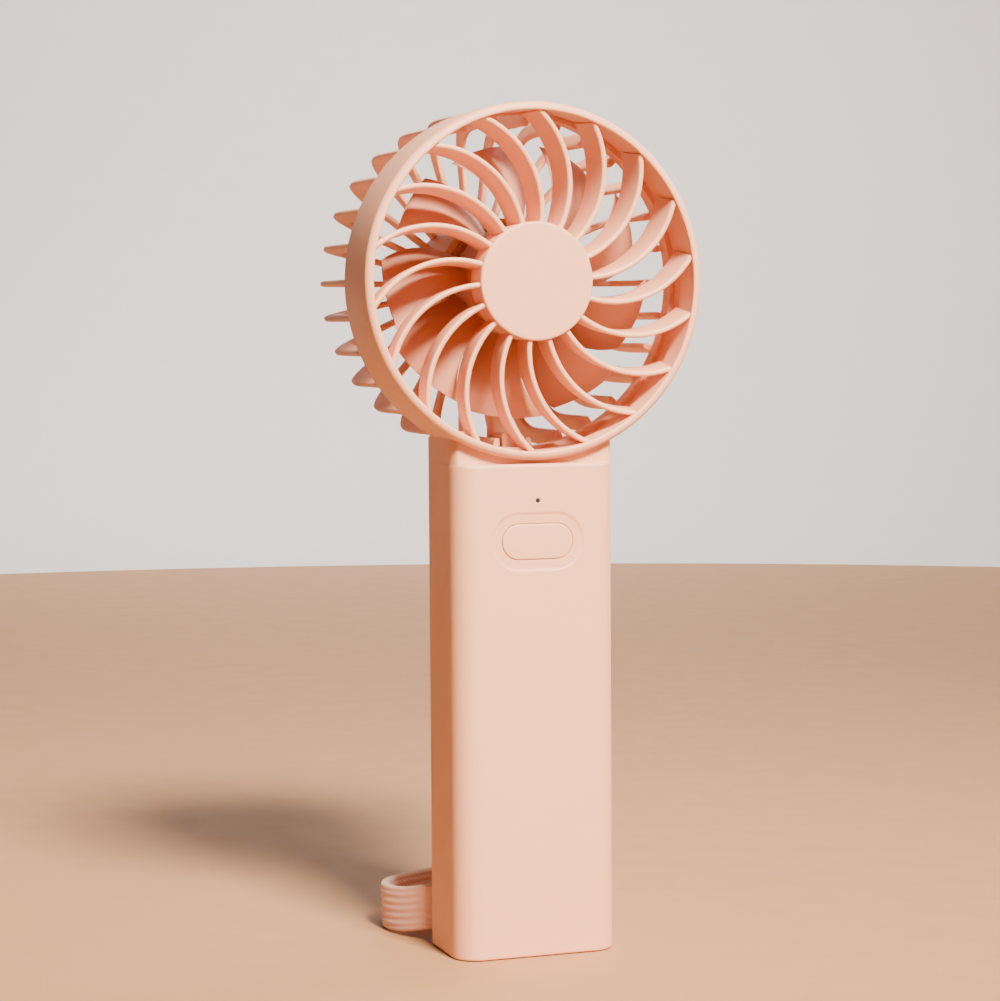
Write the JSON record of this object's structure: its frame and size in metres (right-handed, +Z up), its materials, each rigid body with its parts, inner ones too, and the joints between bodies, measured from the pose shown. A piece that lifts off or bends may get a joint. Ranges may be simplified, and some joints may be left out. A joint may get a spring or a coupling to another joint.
{
  "type": "handheld electric fan",
  "caption": "Round caged head with swept front vanes and open rear fins over a spinning impeller, on a rounded rectangular handle with a push button, a charging socket and a wrist strap.",
  "frame": {"origin": "middle of the bounding box at the flat base, measured without the strap", "axes": "+Z up, -Y the way the fan blows, +X to the right of someone who looks at the fan's front"},
  "size_m": [0.09, 0.0867, 0.217],
  "materials": {
    "peach_abs": "fine matt texture, moulded",
    "peach_abs_inner": "fine matt texture, moulded",
    "bright_steel": "nickel plated",
    "dark_steel": "dull plated",
    "copper_wire": "enamelled copper",
    "sintered_bronze": "oil-filled sintered bronze",
    "circuit_board": "solder mask on glass laminate",
    "lead_sleeve": "soft PVC sleeve",
    "black_nylon": "moulded nylon",
    "led_resin": "clear epoxy",
    "light_pipe": "smoked acrylic",
    "cell_sleeve": "shrink sleeve over a steel can",
    "foam": "closed-cell foam",
    "strap_webbing": "woven polyester webbing"
  },
  "bodies": {
    "body": {"head_housing": "peach_abs", "front_grille": "peach_abs", "centre_cap": "peach_abs", "rear_grille": "peach_abs", "motor_base": "peach_abs_inner", "motor_stator": "dark_steel", "motor_coils": "copper_wire", "motor_bushes": "sintered_bronze", "motor_board": "circuit_board", "motor_screws": "bright_steel", "motor_leads": "lead_sleeve", "handle_front_shell": "peach_abs", "handle_rear_shell": "peach_abs", "base_plate": "peach_abs", "case_screws": "bright_steel", "switch_body": "black_nylon", "main_board": "circuit_board", "board_screws": "bright_steel", "indicator_led": "led_resin", "light_pipe": "light_pipe", "charge_board": "circuit_board", "usb_socket": "bright_steel", "usb_tongue": "black_nylon", "battery_cell": "cell_sleeve", "battery_tabs": "bright_steel", "battery_pad": "foam", "battery_leads": "lead_sleeve", "strap_pin": "bright_steel", "strap_band": "strap_webbing"},
    "rotor": {"impeller": "peach_abs_inner", "impeller_nut": "bright_steel", "motor_shaft": "bright_steel", "motor_bell": "dark_steel", "magnet_ring": "dark_steel"},
    "button": {"button_cap": "peach_abs", "switch_plunger": "black_nylon"}
  },
  "joints": [
    {"name": "impeller_spin", "type": "hinge", "parent": "body", "child": "rotor", "pos_m": [0, 0, 0.172], "axis": [0, -1, 0], "continuous": true},
    {"name": "button_press", "type": "slide", "parent": "body", "child": "button", "axis": [0, 1, 0], "range_m": [0, 0.0005], "stiffness_N_per_m": 1500}
  ]
}
